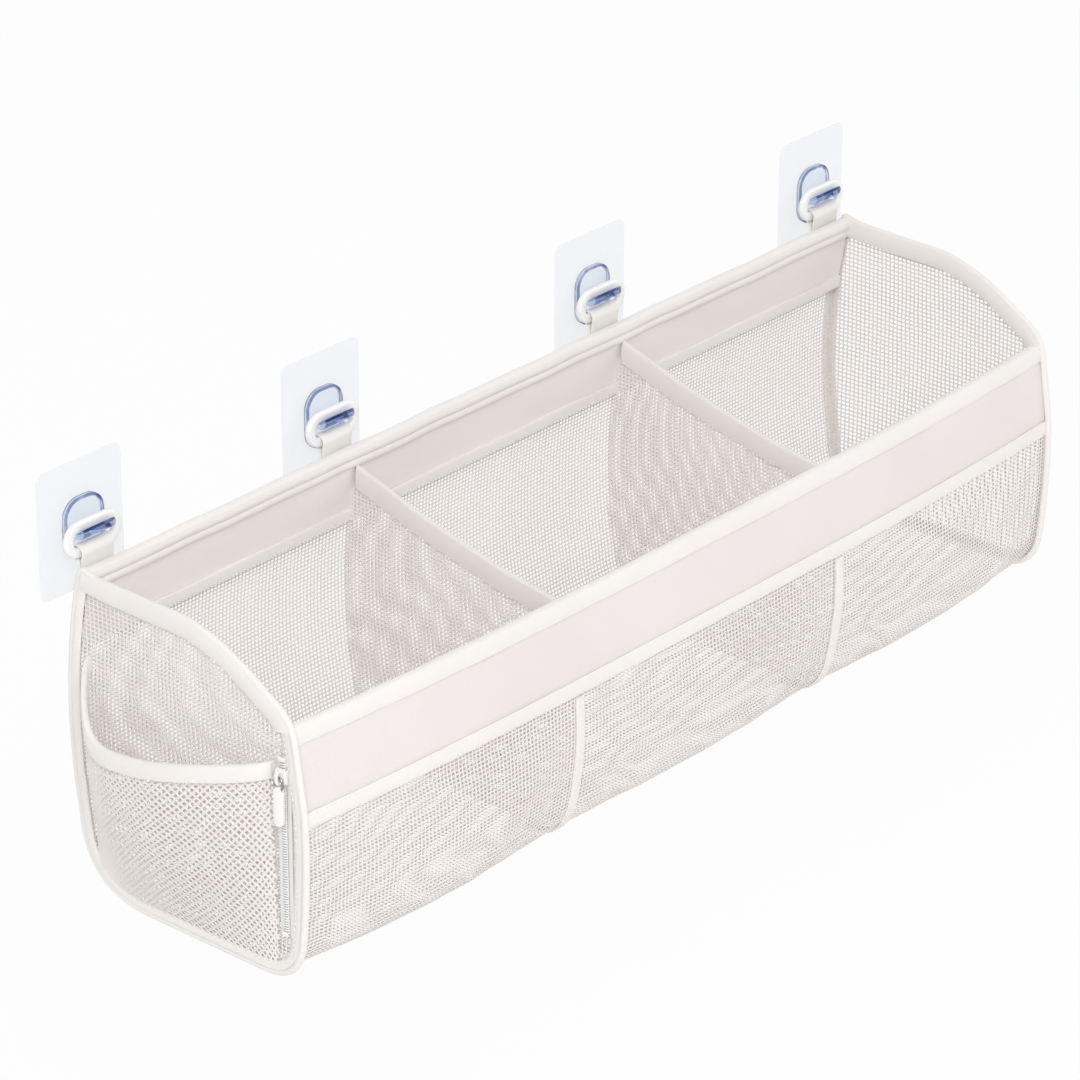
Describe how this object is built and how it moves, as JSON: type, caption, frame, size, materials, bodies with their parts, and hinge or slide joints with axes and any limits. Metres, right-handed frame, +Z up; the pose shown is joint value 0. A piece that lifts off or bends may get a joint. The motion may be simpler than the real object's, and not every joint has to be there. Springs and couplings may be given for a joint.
{
  "type": "bath toy organizer",
  "caption": "Long wall-hung soft basket with mesh walls, dividers, an end pocket and a side zip, carried by straps and oval rings on clear adhesive hooks.",
  "frame": {"origin": "on the wall plane behind the pads, at the middle of the basket's length and level with its bottom", "axes": "+X along the basket to the right seen from the front, +Y into the wall, +Z up"},
  "size_m": [0.7441, 0.1967, 0.268],
  "materials": {
    "woven_fabric": "matte plain weave",
    "stiffener_board": "matte board",
    "binding_tape": "soft ribbed tape",
    "mesh_net": "knitted net",
    "webbing": "woven webbing",
    "zip_metal": "plated",
    "white_plastic": "moulded",
    "clear_plastic": "clear moulded",
    "clear_film": "clear film"
  },
  "bodies": {
    "wall_hooks": {"adhesive_pad_1": "clear_film", "adhesive_pad_2": "clear_film", "adhesive_pad_3": "clear_film", "adhesive_pad_4": "clear_film", "wall_hook_1": "clear_plastic", "wall_hook_2": "clear_plastic", "wall_hook_3": "clear_plastic", "wall_hook_4": "clear_plastic"},
    "hang_rings": {"hang_ring_1": "white_plastic", "hang_ring_2": "white_plastic", "hang_ring_3": "white_plastic", "hang_ring_4": "white_plastic"},
    "basket": {"back_panel_rear_ply": "woven_fabric", "back_panel_front_ply": "woven_fabric", "front_band_rear_ply": "woven_fabric", "front_band_front_ply": "woven_fabric", "divider_1_hem": "woven_fabric", "divider_2_hem": "woven_fabric", "zip_front_tape": "woven_fabric", "zip_rear_tape": "woven_fabric", "back_panel_stiffener": "stiffener_board", "front_band_stiffener": "stiffener_board", "back_rim_binding": "binding_tape", "front_rim_binding": "binding_tape", "front_lower_tape": "binding_tape", "back_lower_tape": "binding_tape", "left_end_top_binding": "binding_tape", "right_end_top_binding": "binding_tape", "left_end_piping": "binding_tape", "right_end_piping": "binding_tape", "divider_1_front_tape": "binding_tape", "divider_2_front_tape": "binding_tape", "pocket_binding": "binding_tape", "mesh_wrap": "mesh_net", "left_end_mesh": "mesh_net", "right_end_mesh": "mesh_net", "divider_1_mesh": "mesh_net", "divider_2_mesh": "mesh_net", "pocket_mesh": "mesh_net", "hang_strap_1": "webbing", "hang_strap_2": "webbing", "hang_strap_3": "webbing", "hang_strap_4": "webbing", "zip_bottom_stop": "zip_metal", "zip_top_stop": "zip_metal", "zip_coil": "white_plastic"},
    "zip_slider": {"zip_slider": "zip_metal"},
    "zip_pull": {"pull_ring": "zip_metal", "pull_tab": "white_plastic"}
  },
  "joints": [
    {"name": "ring_tilt", "type": "hinge", "parent": "wall_hooks", "child": "hang_rings", "pos_m": [0, -0.0095, 0.22475], "axis": [-1, 0, 0], "range_deg": [0, 35]},
    {"name": "basket_swing", "type": "hinge", "parent": "hang_rings", "child": "basket", "pos_m": [0, -0.0095, 0.20925], "axis": [-1, 0, 0], "range_deg": [0, 30]},
    {"name": "zip_run", "type": "slide", "parent": "basket", "child": "zip_slider", "axis": [0, 0, -1], "range_m": [0, 0.09]},
    {"name": "pull_flip", "type": "hinge", "parent": "zip_slider", "child": "zip_pull", "pos_m": [-0.3556, -0.1735, 0.128], "axis": [0, 1, 0], "range_deg": [0, 160]}
  ]
}
